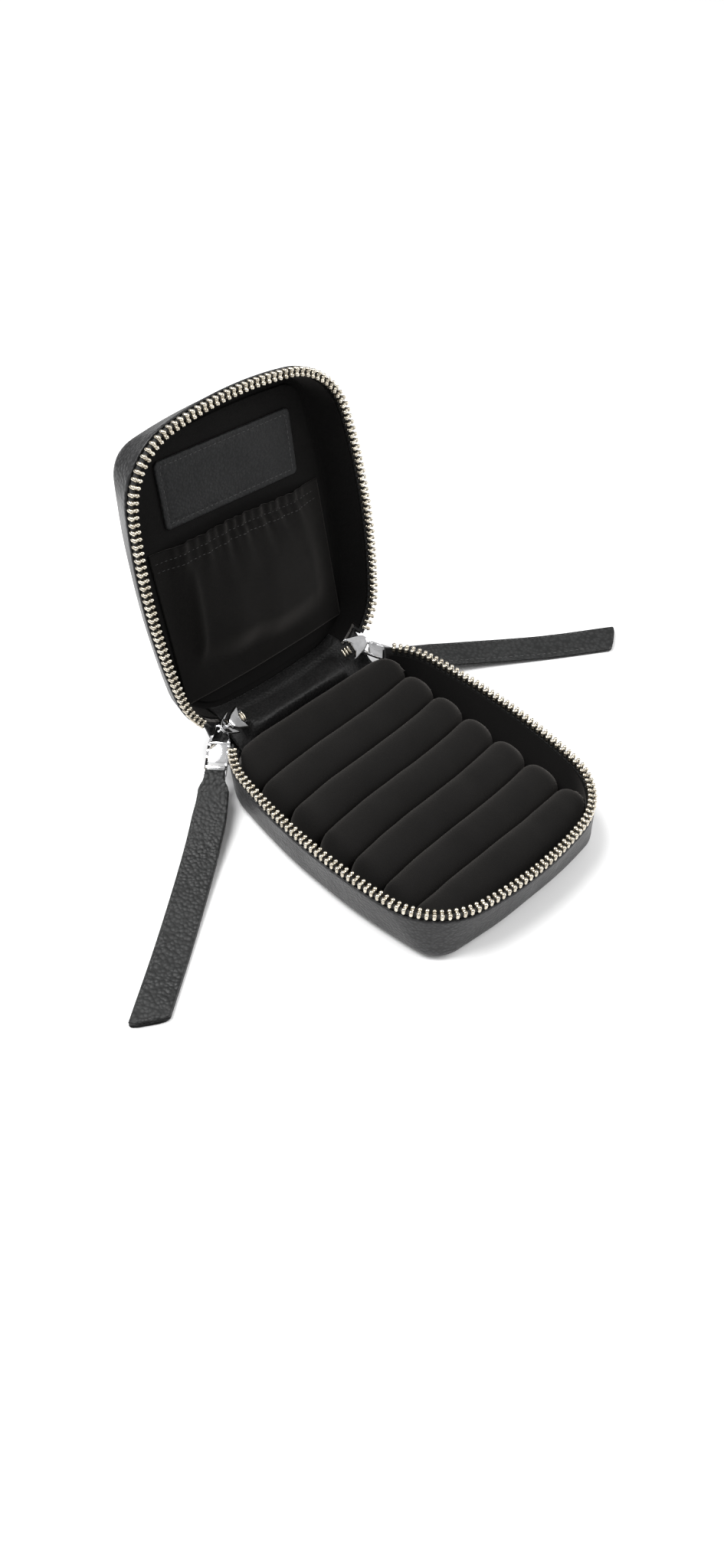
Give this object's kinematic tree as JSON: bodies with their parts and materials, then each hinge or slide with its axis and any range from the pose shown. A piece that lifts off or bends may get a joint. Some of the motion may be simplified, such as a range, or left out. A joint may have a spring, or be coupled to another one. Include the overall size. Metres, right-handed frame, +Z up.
{
  "type": "jewelry box",
  "caption": "Zip-round leather travel jewelry case standing open: padded ring rolls in the base, gathered pocket and patch in the lid, two strap pulls.",
  "frame": {"origin": "on the table, under the middle of the case's zip line", "axes": "+Z up, -Y to the front, +Y to the hinge, X along the hinge"},
  "size_m": [0.2109, 0.1356, 0.1075],
  "materials": {
    "outer_leather": "fine pebbled black",
    "core_board": "pressed foam board",
    "lining": "black microsuede",
    "tape": "woven black tape",
    "teeth": "pale champagne plating",
    "slider_metal": "polished",
    "label": "smooth black with stitched edge",
    "elastic": "gathered hem",
    "foam_roll": "black microsuede over foam"
  },
  "bodies": {
    "base": {"base_leather_wall": "outer_leather", "base_leather_bottom": "outer_leather", "base_core_shell": "core_board", "base_lining": "lining", "roll_tray": "lining", "ring_roll_1": "foam_roll", "ring_roll_2": "foam_roll", "ring_roll_3": "foam_roll", "ring_roll_4": "foam_roll", "ring_roll_5": "foam_roll", "ring_roll_6": "foam_roll", "ring_roll_7": "foam_roll", "base_zip_tape": "tape", "base_zip_teeth": "teeth", "spine_leather": "outer_leather", "spine_lining": "lining"},
    "lid": {"lid_leather_wall": "outer_leather", "lid_leather_top": "outer_leather", "lid_core_shell": "core_board", "lid_lining": "lining", "lid_inner_panel": "lining", "label_patch": "label", "pocket_fabric": "lining", "pocket_elastic": "elastic", "lid_zip_tape": "tape", "lid_zip_teeth": "teeth"},
    "slider_left": {"slider_left": "slider_metal", "zip_tail_left": "teeth"},
    "pull_link_left": {"pull_link_left": "slider_metal"},
    "pull_strap_left": {"pull_strap_left": "outer_leather"},
    "slider_right": {"slider_right": "slider_metal", "zip_tail_right": "teeth"},
    "pull_link_right": {"pull_link_right": "slider_metal"},
    "pull_strap_right": {"pull_strap_right": "outer_leather"}
  },
  "joints": [
    {"name": "lid_hinge", "type": "hinge", "parent": "base", "child": "lid", "pos_m": [0, 0.04593, 0.01493], "axis": [-1, 0, 0], "range_deg": [-103.7, 20], "deforming": ["spine_leather", "spine_lining"]},
    {"name": "slider_tilt_left", "type": "hinge", "parent": "base", "child": "slider_left", "pos_m": [0, 0.04593, 0.01493], "axis": [-1, 0, 0], "range_deg": [-52, 10.5]},
    {"name": "link_swing_left", "type": "hinge", "parent": "slider_left", "child": "pull_link_left", "pos_m": [-0.02788, 0.05126, 0.01474], "axis": [-0.6501, 0.7598, 0], "range_deg": [-4, 12]},
    {"name": "strap_swing_left", "type": "hinge", "parent": "pull_link_left", "child": "pull_strap_left", "pos_m": [-0.038, 0.0426, 0.009], "axis": [-0.6501, 0.7598, 0], "range_deg": [-2, 80]},
    {"name": "slider_tilt_right", "type": "hinge", "parent": "base", "child": "slider_right", "pos_m": [0, 0.04593, 0.01493], "axis": [-1, 0, 0], "range_deg": [-52, 10.5]},
    {"name": "link_swing_right", "type": "hinge", "parent": "slider_right", "child": "pull_link_right", "pos_m": [0.02788, 0.05126, 0.01474], "axis": [-0.6501, -0.7598, 0], "range_deg": [-4, 12]},
    {"name": "strap_swing_right", "type": "hinge", "parent": "pull_link_right", "child": "pull_strap_right", "pos_m": [0.038, 0.0426, 0.009], "axis": [-0.6501, -0.7598, 0], "range_deg": [-2, 80]}
  ],
  "couplings": [
    {"joint": "slider_tilt_left", "follows": "lid_hinge", "ratio": 0.5},
    {"joint": "slider_tilt_right", "follows": "lid_hinge", "ratio": 0.5}
  ]
}
